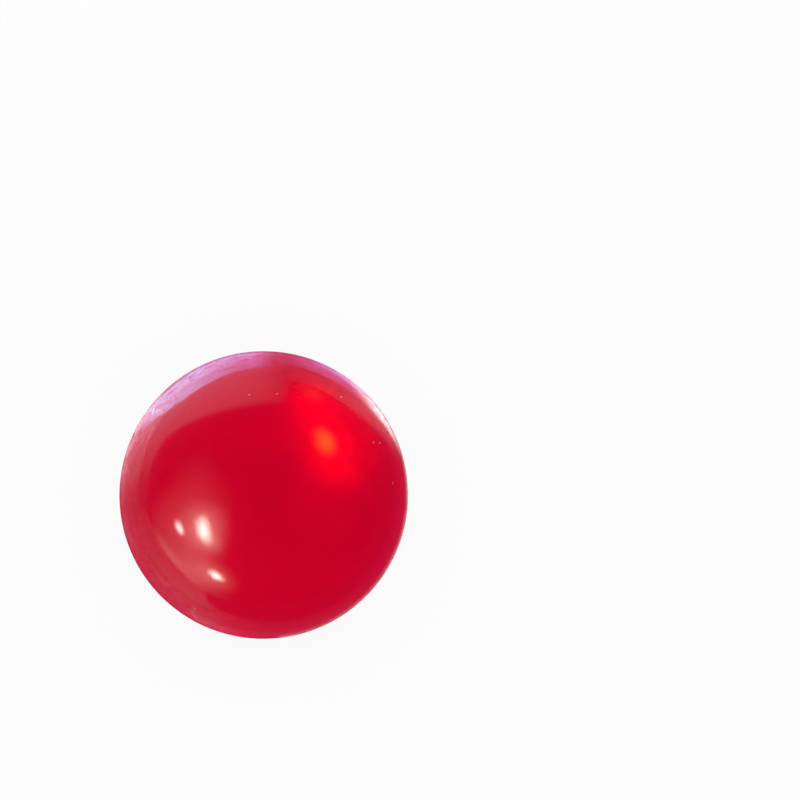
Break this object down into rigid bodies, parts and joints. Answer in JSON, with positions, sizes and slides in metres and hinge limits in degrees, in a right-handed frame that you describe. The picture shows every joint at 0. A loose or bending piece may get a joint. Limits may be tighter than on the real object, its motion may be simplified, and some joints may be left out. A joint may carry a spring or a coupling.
{
  "type": "shank button",
  "caption": "Domed translucent plastic button with a flat back and a moulded block shank, which has a cross hole for the sewing thread.",
  "frame": {"origin": "centre of the shank's flat end, the face that lies against the cloth", "axes": "+Z along the button's axis from the shank's end to the dome's crown, X along the shank's long side, Y along the thread hole"},
  "size_m": [0.015, 0.015, 0.0104],
  "materials": {
    "red_plastic": "translucent, polished on the dome and satin on the back and shank"
  },
  "bodies": {
    "root": {"shank_button": "red_plastic"}
  },
  "joints": []
}
